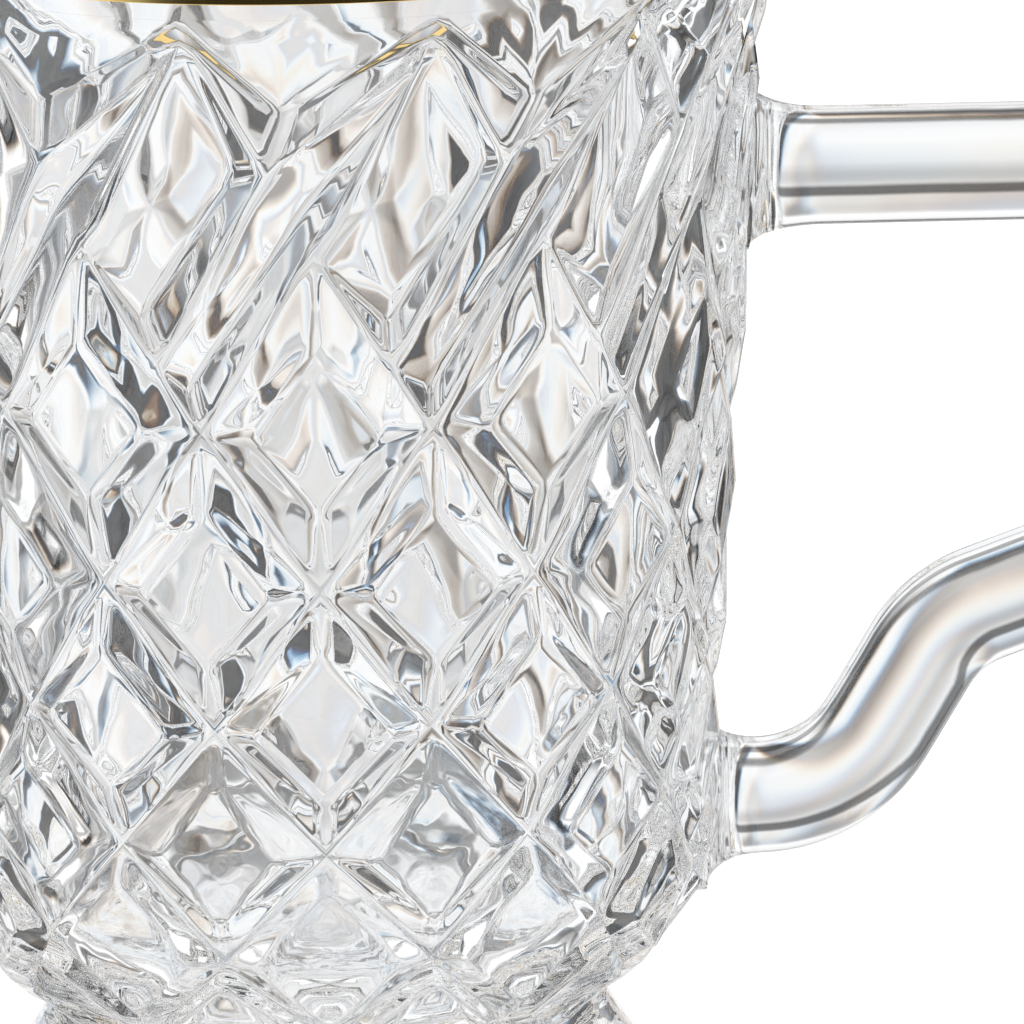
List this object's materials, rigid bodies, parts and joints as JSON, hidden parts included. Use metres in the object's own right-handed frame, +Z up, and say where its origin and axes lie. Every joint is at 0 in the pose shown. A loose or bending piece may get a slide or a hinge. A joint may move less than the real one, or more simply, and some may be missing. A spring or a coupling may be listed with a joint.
{
  "type": "glass mug",
  "caption": "Footed clear glass mug with a cut diamond pattern, an applied side handle and a gilded lip, for hot or cold drinks.",
  "frame": {"origin": "centre of the flat base, on the bowl's axis, at the surface that the mug stands on", "axes": "+Z up along the bowl's axis, +X towards the handle, +Y across the handle's plane, so the handle is on the right when seen from -Y"},
  "size_m": [0.1312, 0.084, 0.112],
  "materials": {
    "clear_glass": "clear pressed glass, fire polished, with rounded cut edges",
    "gold": "bright fired gilding, mirror smooth"
  },
  "bodies": {
    "root": {"bowl": "clear_glass", "foot": "clear_glass", "handle": "clear_glass", "gold_rim": "gold"}
  },
  "joints": []
}
